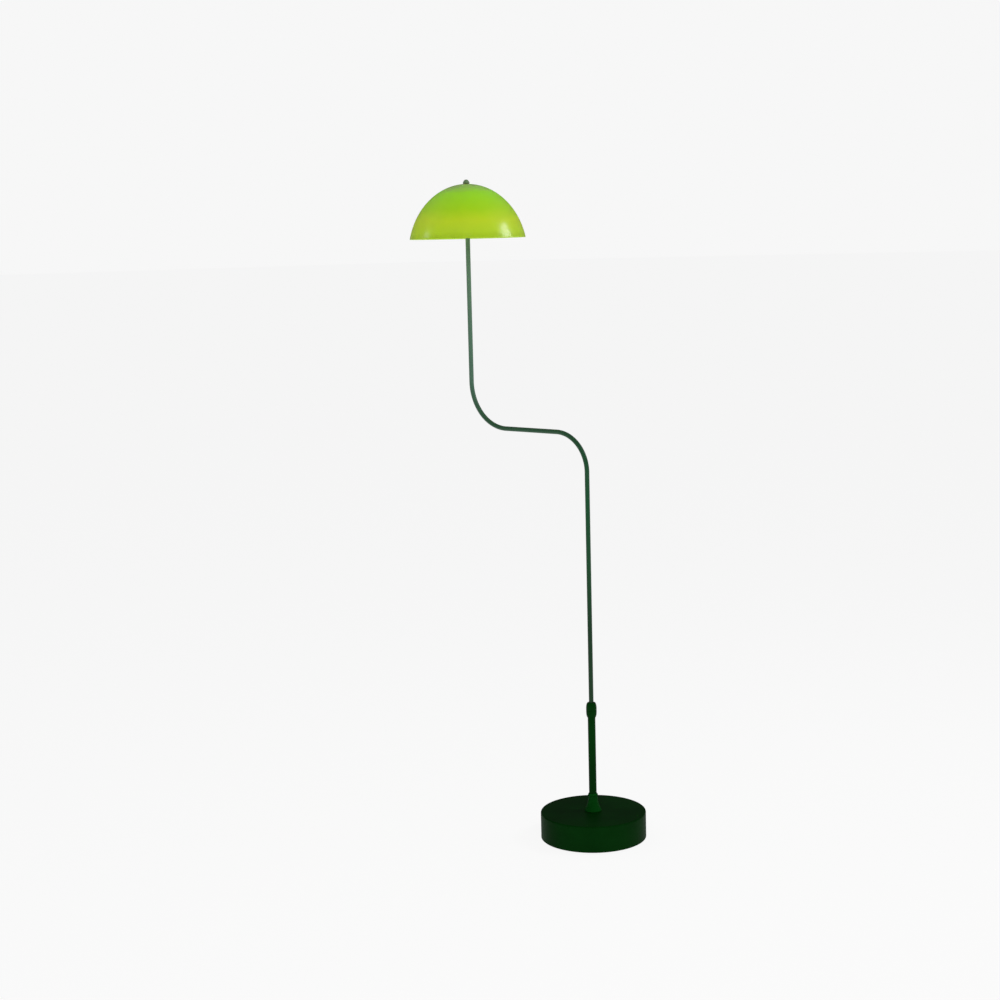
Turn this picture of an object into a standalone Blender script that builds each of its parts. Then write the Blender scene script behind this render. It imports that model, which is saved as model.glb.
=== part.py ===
"""Adjustable arm floor lamp: a drum base, a clamped telescopic post, an S-bent arm tube and a dome shade.

Metres, +Z up. The origin is on the post's axis where the foot pad meets the floor. The arm reaches along -X,
and the lamp holder, harp, bulb, shade and finial all stand on the arm tube's top end.
"""

import math

import bmesh
import bpy
from mathutils import Matrix, Vector

# Base
BASE_RADIUS = 0.125
BASE_TOP = 0.064
SHELL_WALL = 0.0015
SHELL_HEM = 0.002
SHELL_CORNER = 0.004
PAD_RADIUS = 0.118
PAD_THICKNESS = 0.003
PLATE_RADIUS = 0.120
PLATE_THICKNESS = 0.002
WEIGHT_RADIUS = 0.106
WEIGHT_HEIGHT = 0.024
PLATE_SCREW_CIRCLE = 0.090
PLATE_SCREW_ANGLES = (30.0, 150.0, 270.0)

# Post and its clamp
POST_RADIUS = 0.009
POST_WALL = 0.0015
POST_FOOT = 0.013
COLLAR_RADIUS = 0.0125
COLLAR_FOOT = 0.292
COLLAR_SPLIT = 0.309
COLLAR_TOP = 0.328
HUB_FOOT_RADIUS = 0.020
HUB_NECK_RADIUS = 0.011
HUB_TOP = 0.107

# Arm tube
TUBE_RADIUS = 0.0055
TUBE_WALL = 0.0015
TUBE_FOOT = 0.146
RUN_HEIGHT = 0.965
REACH = 0.360
LOWER_BEND = 0.090
UPPER_BEND = 0.110
TUBE_TOP = 1.428
LEAD_RADIUS = 0.002

# Shade: an ellipsoid dome cut level at its rim
SHADE_RIM_RADIUS = 0.140
SHADE_APEX = 1.550
SHADE_HEIGHT = 0.130
SHADE_WALL = 0.0025
SHADE_WIDTH_RATIO = 1.027
SHADE_DEPTH_RATIO = 1.203
STUD_RADIUS = 0.003

# Shared sizes
GAP = 0.0003
RUNNING_GAP = 0.0004
CORD_OUTLET_HEIGHT = 0.0125
CORD_OUTLET_RADIUS = 0.005
KEY_HEIGHT = 0.0255
ROUND = 32
FINE_ROUND = 48
SMALL_ROUND = 16
HEX_ROUND = 24
SOFT_ANGLE = math.radians(35.0)


def clear_scene():
    """Removes whatever the open file holds."""
    for old in list(bpy.data.objects):
        bpy.data.objects.remove(old, do_unlink=True)


def make_material(name, colour, roughness, metallic=0.0):
    """A Principled material with one colour."""
    material = bpy.data.materials.new(name)
    material.use_nodes = True
    shader = material.node_tree.nodes["Principled BSDF"]
    shader.inputs["Base Color"].default_value = (*colour, 1.0)
    shader.inputs["Roughness"].default_value = roughness
    shader.inputs["Metallic"].default_value = metallic
    return material


def add_object(name, shape, material, parent=None, location=(0.0, 0.0, 0.0)):
    """Turns a bmesh into a named object with faces pointing out, placed under its parent."""
    bmesh.ops.recalc_face_normals(shape, faces=shape.faces)
    mesh = bpy.data.meshes.new(name)
    shape.to_mesh(mesh)
    shape.free()
    mesh.materials.append(material)
    mesh.shade_smooth()
    mesh.set_sharp_from_angle(angle=SOFT_ANGLE)
    piece = bpy.data.objects.new(name, mesh)
    bpy.context.scene.collection.objects.link(piece)
    piece.parent = parent
    piece.location = location
    return piece


def joint_axis(name, location, parent=None):
    """An empty on a joint's axis, which the moving pieces hang from."""
    axis = bpy.data.objects.new(name, None)
    axis.empty_display_size = 0.03
    bpy.context.scene.collection.objects.link(axis)
    axis.parent = parent
    axis.location = location
    return axis


def turned_shape(outline, steps):
    """Spins an outline of (radius, height) points about Z; points on the axis become poles."""
    shape = bmesh.new()
    points = [shape.verts.new((radius, 0.0, height)) for radius, height in outline]
    closed = min(radius for radius, _ in outline) > 0.0
    edges = [shape.edges.new(pair) for pair in zip(points, points[1:])]
    if closed:
        edges.append(shape.edges.new((points[-1], points[0])))
    bmesh.ops.spin(
        shape, geom=points + edges, cent=(0, 0, 0), axis=(0, 0, 1), dvec=(0, 0, 0),
        angle=math.tau, steps=steps, use_merge=True, use_duplicate=False,
    )
    bmesh.ops.remove_doubles(shape, verts=shape.verts, dist=1e-6)
    return shape


def turned(name, outline, material, parent=None, location=(0, 0, 0), steps=ROUND):
    """A round piece turned about its own Z axis."""
    return add_object(name, turned_shape(outline, steps), material, parent, location)


def ring_outline(bore, radius, foot, top):
    """A plain washer, sleeve or pipe."""
    return [(bore, foot), (radius, foot), (radius, top), (bore, top)]


def quarter_arc(centre, radius, start_deg, end_deg, count):
    """Points along an arc in the outline's plane, counted from its start to its end."""
    span = math.radians(end_deg - start_deg)
    angles = [math.radians(start_deg) + span * i / count for i in range(count + 1)]
    return [(centre[0] + radius * math.cos(a), centre[1] + radius * math.sin(a)) for a in angles]


def hexagon_nut(name, across_corners, bore, foot, top, material, parent=None, location=(0, 0, 0)):
    """A six-sided nut with a round bore: one ring of points on the hexagon, one on the bore, at each face."""
    shape = bmesh.new()
    angles = [math.tau * i / HEX_ROUND for i in range(HEX_ROUND)]
    flat = across_corners / 2 * math.cos(math.pi / 6)
    outer = [flat / math.cos(a % (math.pi / 3) - math.pi / 6) for a in angles]
    loops = []
    for radii, height in ((outer, foot), (outer, top), ([bore] * HEX_ROUND, top), ([bore] * HEX_ROUND, foot)):
        loops.append([shape.verts.new((r * math.cos(a), r * math.sin(a), height)) for r, a in zip(radii, angles)])
    for near, far in zip(loops, loops[1:] + loops[:1]):
        for k in range(HEX_ROUND):
            m = (k + 1) % HEX_ROUND
            shape.faces.new((near[k], near[m], far[m], far[k]))
    return add_object(name, shape, material, parent, location)


def swept(name, path, radius, plane_normal, material, parent=None, bore=0.0, sides=SMALL_ROUND):
    """A rod, or a pipe where bore is given, along a path that lies in one plane."""
    shape = bmesh.new()
    normal = Vector(plane_normal)
    points = [Vector(point) for point in path]
    skins = []
    for skin_radius in [radius] + ([bore] if bore else []):
        rings = []
        for i, point in enumerate(points):
            before = points[max(i - 1, 0)]
            after = points[min(i + 1, len(points) - 1)]
            sideways = normal.cross((after - before).normalized())
            angles = [math.tau * k / sides for k in range(sides)]
            rings.append([
                shape.verts.new(point + skin_radius * (math.cos(a) * normal + math.sin(a) * sideways))
                for a in angles
            ])
        for low, high in zip(rings, rings[1:]):
            for k in range(sides):
                m = (k + 1) % sides
                shape.faces.new((low[k], low[m], high[m], high[k]))
        skins.append(rings)
    for end in (0, -1):
        if bore:
            outer, inner = skins[0][end], skins[1][end]
            for k in range(sides):
                m = (k + 1) % sides
                shape.faces.new((outer[k], outer[m], inner[m], inner[k]))
        else:
            shape.faces.new(skins[0][end])
    return add_object(name, shape, material, parent)


def cut(piece, cutter):
    """Takes a cutter's shape out of a piece with a live Boolean."""
    step = piece.modifiers.new("cut " + cutter.name, "BOOLEAN")
    step.operation = "DIFFERENCE"
    step.solver = "EXACT"
    step.object = cutter


def as_cutter(piece):
    """Marks an object as a cutter, which isn't part of the lamp."""
    piece.hide_render = True
    piece.display_type = "WIRE"
    return piece


def block_shape(low, high):
    """A rectangular block between two corners."""
    shape = bmesh.new()
    size = Vector(high) - Vector(low)
    place = Matrix.Translation((Vector(high) + Vector(low)) / 2) @ Matrix.Diagonal((*size, 1.0))
    bmesh.ops.create_cube(shape, size=1.0, matrix=place)
    return shape


def arc_points(centre, radius, start_deg, end_deg, count):
    """Points along an arc in the XZ plane."""
    return [(x, 0.0, z) for x, z in quarter_arc(centre, radius, start_deg, end_deg, count)]


def arm_path(foot, top):
    """The arm's centreline: up the post, over the lower bend, along the run, up the upper bend to the shade."""
    lower = arc_points((-LOWER_BEND, RUN_HEIGHT - LOWER_BEND), LOWER_BEND, 0, 90, 10)
    upper = arc_points((-REACH + UPPER_BEND, RUN_HEIGHT + UPPER_BEND), UPPER_BEND, 270, 180, 10)
    return [(0.0, 0.0, foot)] + lower + upper + [(-REACH, 0.0, top)]


def screw_outline(radius, head_radius, head_height, length, grow=0.0):
    """A countersunk screw standing on its head, with room added all round for its hole."""
    return [
        (0.0, -grow),
        (head_radius + grow, -grow),
        (head_radius + grow, 0.0),
        (radius + grow, head_height),
        (radius + grow, length + grow),
        (0.0, length + grow),
    ]


clear_scene()
PAINT = make_material("dark_green_paint", (0.009, 0.062, 0.014), 0.28)
ARM_PAINT = make_material("green_arm_paint", (0.018, 0.085, 0.034), 0.3)
SHADE_GREEN = make_material("green_acrylic", (0.30, 0.56, 0.02), 0.12)
FELT = make_material("black_felt", (0.02, 0.02, 0.02), 0.95)
IRON = make_material("cast_iron", (0.09, 0.09, 0.095), 0.7, 0.8)
STEEL = make_material("zinc_steel", (0.55, 0.56, 0.58), 0.35, 1.0)
BRASS = make_material("brass", (0.72, 0.52, 0.22), 0.3, 1.0)
NYLON = make_material("white_nylon", (0.75, 0.74, 0.70), 0.45)
RUBBER = make_material("black_rubber", (0.015, 0.015, 0.015), 0.7)
LEAD_SHEATH = make_material("lead_sheath", (0.75, 0.74, 0.70), 0.5)
FIBRE = make_material("insulating_fibre", (0.55, 0.43, 0.28), 0.85)
PHENOLIC = make_material("black_phenolic", (0.02, 0.018, 0.016), 0.4)
ALUMINIUM = make_material("aluminium", (0.78, 0.78, 0.79), 0.3, 1.0)
OPAL = make_material("opal_glass", (0.93, 0.92, 0.88), 0.15)
FINIAL_GREEN = make_material("finial_paint", (0.10, 0.19, 0.08), 0.35)

weight_foot = PAD_THICKNESS + GAP + PLATE_THICKNESS + GAP
weight_top = weight_foot + WEIGHT_HEIGHT
post_hole = POST_RADIUS + RUNNING_GAP


# ---- Base ----
def build_base():
    """The drum: felt pad, screwed plate, cast weight, pressed cover and the cord's outlet."""
    plate_foot = PAD_THICKNESS + GAP
    turned("foot_pad", [(0, 0), (PAD_RADIUS, 0), (PAD_RADIUS, PAD_THICKNESS), (0, PAD_THICKNESS)], FELT)
    plate = turned(
        "bottom_plate",
        [(0, 0), (PLATE_RADIUS, 0), (PLATE_RADIUS, PLATE_THICKNESS), (0, PLATE_THICKNESS)],
        STEEL, location=(0, 0, plate_foot),
    )

    counterbore_radius = 0.016
    counterbore_depth = 0.0156
    weight = turned(
        "base_weight",
        [
            (counterbore_radius, weight_foot),
            (WEIGHT_RADIUS, weight_foot),
            (WEIGHT_RADIUS, weight_top - 0.002),
            (WEIGHT_RADIUS - 0.002, weight_top),
            (post_hole, weight_top),
            (post_hole, weight_foot + counterbore_depth),
            (counterbore_radius, weight_foot + counterbore_depth),
        ],
        IRON,
    )
    groove = as_cutter(add_object(
        "lead_groove_cutter", block_shape((-0.004, 0.001, weight_foot - 0.002), (0.004, 0.12, 0.013)), IRON,
    ))
    cut(weight, groove)

    screw_radius, head_radius, head_height, length = 0.002, 0.0036, 0.0016, 0.0120
    for number, angle in enumerate(PLATE_SCREW_ANGLES, start=1):
        turn = math.radians(angle)
        place = (PLATE_SCREW_CIRCLE * math.cos(turn), PLATE_SCREW_CIRCLE * math.sin(turn), plate_foot)
        outline = screw_outline(screw_radius, head_radius, head_height, length)
        turned(f"plate_screw_{number}", outline, STEEL, location=place, steps=16)
        hole = screw_outline(screw_radius, head_radius, head_height, length, grow=RUNNING_GAP)
        cutter = as_cutter(turned(f"plate_screw_cutter_{number}", hole, STEEL, location=place, steps=16))
        cut(plate, cutter)
        cut(weight, cutter)

    corner = (BASE_RADIUS - SHELL_CORNER, BASE_TOP - SHELL_CORNER)
    outside = quarter_arc(corner, SHELL_CORNER, 0, 90, 4)
    inside = quarter_arc(corner, SHELL_CORNER - SHELL_WALL, 90, 0, 4)
    shell = turned(
        "base_shell",
        [(BASE_RADIUS, SHELL_HEM)] + outside + [(post_hole, BASE_TOP), (post_hole, BASE_TOP - SHELL_WALL)]
        + inside + [(BASE_RADIUS - SHELL_WALL, SHELL_HEM)],
        PAINT, steps=FINE_ROUND,
    )
    outlet = as_cutter(add_object("outlet_cutter", sideways_rod(CORD_OUTLET_RADIUS, 0.115, 0.135), PAINT))
    cut(shell, outlet)
    build_grommet()


def sideways_rod(radius, near, far):
    """A rod along +Y at the cord outlet's height."""
    shape = turned_shape([(0, near), (radius, near), (radius, far), (0, far)], SMALL_ROUND)
    lay_along_y(shape)
    return shape


def lay_along_y(shape):
    """Turns a shape made along +Z to lie along +Y, and lifts it to the cord outlet."""
    turn = Matrix.Translation((0, 0, CORD_OUTLET_HEIGHT)) @ Matrix.Rotation(-math.pi / 2, 4, "X")
    bmesh.ops.transform(shape, matrix=turn, verts=shape.verts)


def build_grommet():
    """A rubber bush with a flange on each side of the cover's wall, bored for the mains cord."""
    bore, neck, flange = 0.0035, CORD_OUTLET_RADIUS - GAP, 0.0065
    wall_in = BASE_RADIUS - SHELL_WALL - 0.0005
    wall_out = BASE_RADIUS + GAP
    flange_in, flange_out = wall_in - 0.0019, wall_out + 0.0019
    grommet = turned_shape(
        [
            (bore, flange_in), (flange, flange_in), (flange, wall_in), (neck, wall_in),
            (neck, wall_out), (flange, wall_out), (flange - 0.001, flange_out), (bore, flange_out),
        ],
        SMALL_ROUND,
    )
    lay_along_y(grommet)
    add_object("cord_grommet", grommet, RUBBER)


# ---- Post ----
def build_post():
    """The lower post through the base, its nut, its flared hub, and the clamp collar on its top end."""
    turned("post_tube", ring_outline(POST_RADIUS - POST_WALL, POST_RADIUS, POST_FOOT, COLLAR_FOOT + 0.0117), PAINT)
    hexagon_nut("post_nut", 0.030, POST_RADIUS + 0.0005, 0.0136, 0.0186, STEEL)
    turned("post_washer", ring_outline(POST_RADIUS + 0.0005, 0.0150, 0.0189, 0.0208), STEEL, steps=SMALL_ROUND)
    turned("spacer_sleeve", ring_outline(post_hole, 0.0125, weight_top + GAP, BASE_TOP - SHELL_WALL - GAP), STEEL)

    lip = [(0.0118, 0.0048), (0.0120, 0.0038), (0.0115, 0.0026), (0.0106, 0.0012), (0.0101, 0)]
    flare = []
    flare_foot, flare_top = BASE_TOP + GAP + 0.002, HUB_TOP - 0.0056
    for i in range(7):
        rise = i / 6
        radius = HUB_NECK_RADIUS + (HUB_FOOT_RADIUS - HUB_NECK_RADIUS) * (1 - rise) ** 2.2
        flare.append((radius, flare_foot + (flare_top - flare_foot) * rise))
    turned(
        "post_hub",
        [(post_hole, BASE_TOP + GAP), (HUB_FOOT_RADIUS, BASE_TOP + GAP)] + flare
        + [(radius, HUB_TOP - drop) for radius, drop in lip] + [(post_hole, HUB_TOP)],
        PAINT,
    )
    build_clamp()


def build_clamp():
    """A collar body fixed on the post, a nylon collet on its neck, and a twist nut that squeezes the collet."""
    tube_hole = TUBE_RADIUS + GAP
    neck_top = COLLAR_SPLIT + 0.011
    shoulder = COLLAR_FOOT + 0.012
    turned(
        "collar_body",
        [
            (post_hole, COLLAR_FOOT), (0.0099, COLLAR_FOOT), (0.0113, COLLAR_FOOT + 0.003),
            (0.0121, COLLAR_FOOT + 0.007), (COLLAR_RADIUS, COLLAR_FOOT + 0.012), (COLLAR_RADIUS, COLLAR_SPLIT),
            (0.0086, COLLAR_SPLIT), (0.0086, neck_top), (tube_hole, neck_top), (tube_hole, shoulder),
            (post_hole, shoulder),
        ],
        PAINT,
    )
    turned(
        "collet",
        [
            (tube_hole, neck_top + GAP), (0.0083, neck_top + GAP), (0.0083, neck_top + 0.0016),
            (0.0070, neck_top + 0.0052), (tube_hole, neck_top + 0.0052),
        ],
        NYLON, steps=SMALL_ROUND,
    )
    nut_axis = joint_axis("collar_nut_axis", (0, 0, COLLAR_SPLIT))
    height = COLLAR_TOP - COLLAR_SPLIT
    turned(
        "collar_nut",
        [
            (0.0089, GAP), (COLLAR_RADIUS, GAP), (COLLAR_RADIUS, height - 0.011),
            (0.0119, height - 0.0065), (0.0108, height - 0.0025), (0.0092, height), (0.0060, height),
            (0.0060, height - 0.0015),
            (0.0075, height - 0.0015), (0.0089, height - 0.0065),
        ],
        PAINT, parent=nut_axis,
    )


# ---- Arm ----
def build_arm():
    """The bush that slides in the post, and the bent tube that turns in the bush with its lead inside."""
    bush_foot, bush_top = TUBE_FOOT + 0.006, TUBE_FOOT + 0.030
    slide_axis = joint_axis("height_slide_axis", (0, 0, 0))
    swing_axis = joint_axis("arm_swing_axis", (0, 0, 0), parent=slide_axis)
    tube_hole = TUBE_RADIUS + GAP
    bush_radius = POST_RADIUS - POST_WALL - GAP
    turned("guide_bush", ring_outline(tube_hole, bush_radius, bush_foot, bush_top), NYLON, slide_axis)
    turned("bush_stop_ring", ring_outline(tube_hole, bush_radius, bush_top + GAP, bush_top + 0.0033), STEEL, swing_axis)
    turned(
        "bush_clip", ring_outline(tube_hole, bush_radius, bush_foot - 0.0020, bush_foot - GAP), STEEL, swing_axis,
        steps=SMALL_ROUND,
    )
    swept("arm_tube", arm_path(TUBE_FOOT, TUBE_TOP), TUBE_RADIUS, (0, 1, 0), ARM_PAINT, swing_axis,
          bore=TUBE_RADIUS - TUBE_WALL)
    swept("arm_lead", arm_path(TUBE_FOOT - 0.010, TUBE_TOP + 0.0175), LEAD_RADIUS, (0, 1, 0), LEAD_SHEATH,
          swing_axis, sides=8)
    head = joint_axis("head_centre", (-REACH, 0, TUBE_TOP), parent=swing_axis)
    build_lamp_holder(head)
    build_bulb(head)
    build_harp(head)
    build_shade(head)


def build_base_lead():
    """The lead inside the base: in from the grommet, along the weight's groove, and up into the post's foot."""
    bend, low = 0.014, 0.008
    inlet, settle = 0.1185, 0.098
    fall = []
    for i in range(7):
        part = i / 6
        ease = part * part * (3 - 2 * part)
        fall.append((0.0, inlet + (settle - inlet) * part, CORD_OUTLET_HEIGHT + (low - CORD_OUTLET_HEIGHT) * ease))
    turn = [(0.0, y, z) for y, z in quarter_arc((bend, low + bend), bend, 270, 180, 6)]
    swept("base_lead", fall + turn + [(0.0, 0.0, 0.033)], LEAD_RADIUS, (1, 0, 0), LEAD_SHEATH, sides=10)


# ---- Lamp holder ----
def build_lamp_holder(head):
    """Threaded nipple, harp saddle, nut, brass cap and shell, fibre liner, switch core and its turning key."""
    turned(
        "tube_nipple",
        [
            (0.0026, -0.016), (0.0037, -0.016), (0.0037, GAP), (0.0047, GAP), (0.0047, 0.016), (0.0026, 0.016),
        ],
        BRASS, head, steps=SMALL_ROUND,
    )
    build_saddle(head)
    hexagon_nut("saddle_nut", 0.016, 0.0050, 0.0025, 0.0055, BRASS, head)
    turned(
        "socket_cap",
        [
            (0.0050, 0.0058), (0.0085, 0.0058), (0.0140, 0.0082), (0.0168, 0.0120), (0.0168, 0.0220),
            (0.0160, 0.0220), (0.0160, 0.0125), (0.0135, 0.0090), (0.0083, 0.0067), (0.0050, 0.0067),
        ],
        BRASS, head,
    )
    shell = turned("socket_shell", ring_outline(0.0150, 0.0156, 0.0183, 0.0480), BRASS, head)
    liner = turned("socket_liner", ring_outline(0.0140, 0.0146, 0.0186, 0.0470), FIBRE, head)
    core = turned(
        "socket_core", [(0, 0.0189), (0.0134, 0.0189), (0.0134, 0.0310), (0, 0.0310)], PHENOLIC, head,
        steps=SMALL_ROUND,
    )
    turned("screw_shell", ring_outline(0.0132, 0.0137, 0.0313, 0.0460), BRASS, head)
    turned(
        "centre_contact", [(0, 0.0313), (0.0035, 0.0313), (0.0025, 0.0323), (0, 0.0323)], BRASS, head,
        steps=SMALL_ROUND,
    )

    key_axis = joint_axis("switch_key_axis", (0, 0, KEY_HEIGHT), parent=head)
    stem_start, collar_start, key_end = 0.0060, 0.0240, 0.0330
    key_shape = turned_shape(
        [
            (0, stem_start), (0.0018, stem_start), (0.0018, collar_start), (0.0046, collar_start + 0.0008),
            (0.0050, key_end - 0.0010), (0.0042, key_end), (0, key_end),
        ],
        SMALL_ROUND,
    )
    bmesh.ops.transform(key_shape, matrix=Matrix.Rotation(math.pi / 2, 4, "Y"), verts=key_shape.verts)
    add_object("switch_key", key_shape, PHENOLIC, key_axis)
    hole_shape = turned_shape([(0, 0.0054), (0.0024, 0.0054), (0.0024, 0.020), (0, 0.020)], SMALL_ROUND)
    bmesh.ops.transform(hole_shape, matrix=Matrix.Rotation(math.pi / 2, 4, "Y"), verts=hole_shape.verts)
    hole = as_cutter(add_object("key_hole_cutter", hole_shape, PHENOLIC, head, (0, 0, KEY_HEIGHT)))
    for piece in (shell, liner, core):
        cut(piece, hole)


def build_saddle(head):
    """A flat brass strip across the tube's end, with a peg turned up at each end for the harp's legs."""
    thickness, peg_y, peg_half, peg_top = 0.0016, 0.022, 0.0012, 0.0060
    foot = 2 * GAP
    section = [
        (-peg_y - peg_half, foot), (peg_y + peg_half, foot), (peg_y + peg_half, peg_top),
        (peg_y - peg_half, peg_top), (peg_y - peg_half, foot + thickness),
        (-peg_y + peg_half, foot + thickness), (-peg_y + peg_half, peg_top), (-peg_y - peg_half, peg_top),
    ]
    shape = bmesh.new()
    side = [shape.verts.new((-peg_half, y, z)) for y, z in section]
    face = shape.faces.new(side)
    grown = bmesh.ops.extrude_face_region(shape, geom=[face])
    moved = [item for item in grown["geom"] if isinstance(item, bmesh.types.BMVert)]
    bmesh.ops.translate(shape, vec=(2 * peg_half, 0, 0), verts=moved)
    saddle = add_object("harp_saddle", shape, BRASS, head)
    disc = turned("saddle_disc_part", ring_outline(0.0050, 0.0095, foot, foot + thickness), BRASS, head)
    as_cutter(disc)
    join = saddle.modifiers.new("round middle", "BOOLEAN")
    join.operation = "UNION"
    join.solver = "EXACT"
    join.object = disc
    hole_shape = turned_shape([(0, -0.001), (0.0050, -0.001), (0.0050, 0.004), (0, 0.004)], SMALL_ROUND)
    cut(saddle, as_cutter(add_object("saddle_hole_cutter", hole_shape, BRASS, head)))


# ---- Bulb ----
def build_bulb(head):
    """A small round lamp: contact tip, metal screw cap, light module and opal glass globe."""
    cap_foot, cap_top = 0.0353, 0.0520
    turned(
        "bulb_tip", [(0, 0.0326), (0.0040, 0.0326), (0.0100, 0.0350), (0, 0.0350)], PHENOLIC, head,
        steps=SMALL_ROUND,
    )
    turned(
        "bulb_cap", [(0, cap_foot), (0.0118, cap_foot), (0.0129, cap_foot + 0.001), (0.0129, cap_top), (0, cap_top)],
        ALUMINIUM, head, steps=SMALL_ROUND,
    )
    turned(
        "light_module", [(0, 0.0526), (0.0090, 0.0526), (0.0070, 0.0560), (0.0070, 0.0700), (0, 0.0730)],
        NYLON, head, steps=SMALL_ROUND,
    )
    globe_radius, globe_centre, neck, wall, foot = 0.0225, 0.0810, 0.0126, 0.0008, 0.0523
    start = -math.degrees(math.acos(neck / globe_radius))
    skin = quarter_arc((0, globe_centre), globe_radius, start, 90, 8)[:-1]
    lining = quarter_arc((0, globe_centre), globe_radius - wall, 90, start, 8)[1:]
    turned(
        "bulb_globe",
        [(neck - wall, foot), (neck, foot)] + skin + [(0, globe_centre + globe_radius)],
        OPAL, head, steps=24,
    )
    hollow = [(0, foot - 0.001), (neck - wall, foot - 0.001)] + lining[::-1] + [(0, globe_centre + globe_radius - wall)]
    cutter = as_cutter(turned("globe_hollow_cutter", hollow, OPAL, head, steps=24))
    cut(bpy.data.objects["bulb_globe"], cutter)


# ---- Harp ----
def build_harp(head):
    """A wire loop round the bulb, two lift-up ferrules on its legs, and the threaded seat on its crown."""
    leg, widest, foot, crown, waist = 0.022, 0.036, 0.0064, 0.1115, 0.062
    half = [(leg, foot), (leg, 0.0180)]
    for i in range(1, 7):
        part = i / 6
        ease = part * part * (3 - 2 * part)
        half.append((leg + (widest - leg) * ease, 0.0180 + (waist - 0.0180) * part))
    for i in range(1, 11):
        turn = math.radians(9.0 * i)
        half.append((widest * math.cos(turn), waist + (crown - waist) * math.sin(turn)))
    right = [(0.0, y, z) for y, z in half[:-1]]
    left = [(0.0, -y, z) for y, z in reversed(half[:-1])]
    harp = swept("harp", right + [(0.0, 0.0, crown)] + left, 0.0016, (1, 0, 0), BRASS, sides=10)
    harp.parent = head

    for side, y in (("right", leg), ("left", -leg)):
        axis = joint_axis(f"harp_ferrule_axis_{side}", (0, y, 0.0030), parent=head)
        turned(f"harp_ferrule_{side}", ring_outline(0.0021, 0.0030, 0, 0.010), BRASS, axis, steps=SMALL_ROUND)

    turned(
        "harp_seat",
        [
            (0, 0.1134), (0.0090, 0.1134), (0.0090, 0.1164), (STUD_RADIUS, 0.1164),
            (STUD_RADIUS, 0.1290), (0, 0.1290),
        ],
        BRASS, head, steps=SMALL_ROUND,
    )


# ---- Shade ----
def dome_outline(grow):
    """Points (radius, height) from the rim to the crown; grow moves the surface in or out."""
    wide = SHADE_RIM_RADIUS * SHADE_WIDTH_RATIO + grow
    deep = SHADE_RIM_RADIUS * SHADE_DEPTH_RATIO + grow
    centre = SHADE_APEX - SHADE_RIM_RADIUS * SHADE_DEPTH_RATIO
    rim = SHADE_APEX - SHADE_HEIGHT
    start = math.asin((rim - centre) / deep)
    count = 11
    points = []
    for i in range(count):
        turn = start + (math.pi / 2 - start) * i / count
        points.append((wide * math.cos(turn), centre + deep * math.sin(turn)))
    return points


def build_shade(head):
    """The acrylic dome between its washers, and the finial that screws down on the harp's stud."""
    hole = STUD_RADIUS + GAP
    outside = dome_outline(0.0)
    inside = dome_outline(-SHADE_WALL)
    outline = [(radius, height - TUBE_TOP) for radius, height in outside]
    outline += [(hole, SHADE_APEX - TUBE_TOP), (hole, SHADE_APEX - SHADE_WALL - TUBE_TOP)]
    outline += [(radius, height - TUBE_TOP) for radius, height in reversed(inside)]
    turned("shade", outline, SHADE_GREEN, head, steps=FINE_ROUND)
    turned("shade_washer", ring_outline(hole, 0.0090, 0.1167, 0.1187), RUBBER, head, steps=SMALL_ROUND)

    lift_axis = joint_axis("finial_lift_axis", (0, 0, SHADE_APEX - TUBE_TOP + GAP), parent=head)
    turned("finial_washer", ring_outline(hole, 0.0078, 0, 0.0008), BRASS, lift_axis, steps=SMALL_ROUND)
    turn_axis = joint_axis("finial_turn_axis", (0, 0, 0.0011), parent=lift_axis)
    length, bore_depth = 0.0088, 0.0068
    skirt = [(0.0080, 0), (0.0084, 0.0006), (0.0082, 0.0014), (0.0077, 0.0024)]
    nose = [(0.0070, 0.0036), (0.0062, 0.0052), (0.0052, 0.0066), (0.0039, 0.0079), (0.0021, 0.0086)]
    turned(
        "finial",
        [(0, bore_depth), (hole, bore_depth - 0.0006), (hole, 0)] + skirt + nose + [(0, length)],
        FINIAL_GREEN, turn_axis,
    )


build_base()
build_base_lead()
build_post()
build_arm()
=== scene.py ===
"""Adjustable arm floor lamp: drum base, clamped telescopic post, S-bent arm tube and a green acrylic dome."""

import math

import bpy
import numpy as np
from mathutils import Euler, Matrix, Vector


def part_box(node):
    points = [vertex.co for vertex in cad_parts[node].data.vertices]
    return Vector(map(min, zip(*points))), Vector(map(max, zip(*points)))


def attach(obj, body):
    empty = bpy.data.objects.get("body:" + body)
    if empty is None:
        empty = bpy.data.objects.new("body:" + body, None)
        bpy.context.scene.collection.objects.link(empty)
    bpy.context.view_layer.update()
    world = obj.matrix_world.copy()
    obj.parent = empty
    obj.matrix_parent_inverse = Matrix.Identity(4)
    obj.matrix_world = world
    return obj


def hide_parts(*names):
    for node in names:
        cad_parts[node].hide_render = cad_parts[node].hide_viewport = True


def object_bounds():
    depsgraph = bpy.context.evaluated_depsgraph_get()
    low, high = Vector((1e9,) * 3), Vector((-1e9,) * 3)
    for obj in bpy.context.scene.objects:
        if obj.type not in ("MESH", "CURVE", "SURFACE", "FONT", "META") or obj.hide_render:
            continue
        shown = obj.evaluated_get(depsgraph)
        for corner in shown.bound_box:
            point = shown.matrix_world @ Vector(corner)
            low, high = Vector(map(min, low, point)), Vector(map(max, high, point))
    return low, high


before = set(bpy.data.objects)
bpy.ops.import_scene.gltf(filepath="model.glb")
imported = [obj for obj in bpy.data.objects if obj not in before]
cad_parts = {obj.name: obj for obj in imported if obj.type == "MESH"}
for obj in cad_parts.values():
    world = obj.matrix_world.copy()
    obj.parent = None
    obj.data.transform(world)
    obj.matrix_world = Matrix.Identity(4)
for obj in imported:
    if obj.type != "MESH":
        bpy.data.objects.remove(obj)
cad_low, cad_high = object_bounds()

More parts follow.
